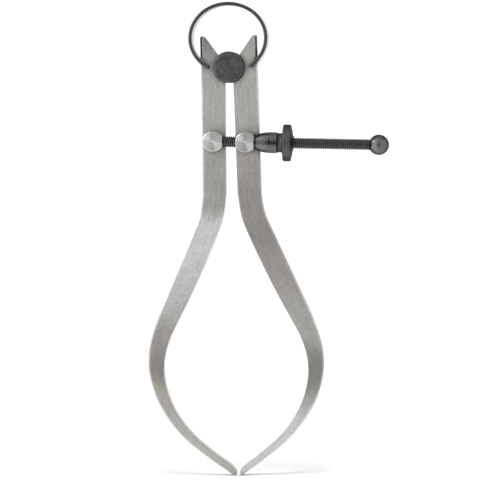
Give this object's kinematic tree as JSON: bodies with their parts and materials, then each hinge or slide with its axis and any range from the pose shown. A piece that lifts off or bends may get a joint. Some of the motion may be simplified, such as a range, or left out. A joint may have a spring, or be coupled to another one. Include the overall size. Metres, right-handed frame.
{
  "type": "outside spring caliper",
  "caption": "Outside spring caliper with bowed steel legs, a bow spring at the fulcrum and a screw and nut that set the gap between the tips.",
  "frame": {"origin": "centre of the fulcrum's rear face, on the axis the legs turn about", "axes": "+Z from the fulcrum towards the top of the bow spring, +X towards the ball end of the screw, -Y out of the front face that carries the studs and the screw"},
  "size_m": [0.0907, 0.0156, 0.1745],
  "materials": {
    "ground_steel": "satin, ground",
    "turned_steel": "fine turned",
    "black_oxide": "satin black oxide"
  },
  "bodies": {
    "fulcrum": {"fulcrum_button": "black_oxide", "fulcrum_roller": "turned_steel", "fulcrum_rear_cap": "black_oxide", "fulcrum_rivet": "turned_steel"},
    "left_leg": {"left_leg": "ground_steel"},
    "right_leg": {"right_leg": "ground_steel"},
    "bow_spring": {"bow_spring": "black_oxide"},
    "screw": {"anchor_stud": "turned_steel", "anchor_stud_washer": "turned_steel", "adjusting_screw": "black_oxide", "screw_lock_pin": "turned_steel", "ball_end": "black_oxide", "ball_pin": "black_oxide"},
    "slide_stud": {"slide_stud": "turned_steel", "slide_stud_washer": "turned_steel"},
    "thrust_sleeve": {"thrust_sleeve": "black_oxide"},
    "nut": {"adjusting_nut": "black_oxide"}
  },
  "joints": [
    {"name": "leg_opening", "type": "hinge", "parent": "fulcrum", "child": "left_leg", "pos_m": [0, -0.00388, 0], "axis": [0, 1, 0], "range_deg": [-0.15, 29.5]},
    {"name": "right_leg_opening", "type": "hinge", "parent": "fulcrum", "child": "right_leg", "pos_m": [0, -0.00388, 0], "axis": [0, -1, 0], "range_deg": [-0.2, 29.6]},
    {"name": "bow_rise", "type": "slide", "parent": "fulcrum", "child": "bow_spring", "axis": [0, 0, 1], "range_m": [-0.00005, 0.00455], "deforming": ["bow_spring"]},
    {"name": "screw_swivel", "type": "hinge", "parent": "left_leg", "child": "screw", "pos_m": [-0.006, -0.00388, -0.02705], "axis": [0, -1, 0], "range_deg": [-0.3, 31.6]},
    {"name": "slide_stud_swivel", "type": "hinge", "parent": "right_leg", "child": "slide_stud", "pos_m": [0.006, -0.00388, -0.02755], "axis": [0, 1, 0], "range_deg": [-0.3, 27.8]},
    {"name": "nut_travel", "type": "slide", "parent": "screw", "child": "thrust_sleeve", "axis": [0.9991, 0, -0.0416], "range_m": [-0.0002, 0.026]},
    {"name": "nut_spin", "type": "hinge", "parent": "thrust_sleeve", "child": "nut", "pos_m": [0.02099, -0.00888, -0.02817], "axis": [0.9991, 0, -0.0416], "continuous": true}
  ],
  "couplings": [
    {"joint": "right_leg_opening", "follows": "leg_opening", "ratio": 1},
    {"joint": "bow_rise", "follows": "leg_opening", "m_per_rad": 0.008763},
    {"joint": "screw_swivel", "follows": "leg_opening", "ratio": 1.0582},
    {"joint": "slide_stud_swivel", "follows": "leg_opening", "ratio": 0.94176},
    {"joint": "nut_travel", "follows": "leg_opening", "m_per_rad": 0.0498},
    {"joint": "nut_spin", "follows": "leg_opening", "ratio": 394.21}
  ]
}
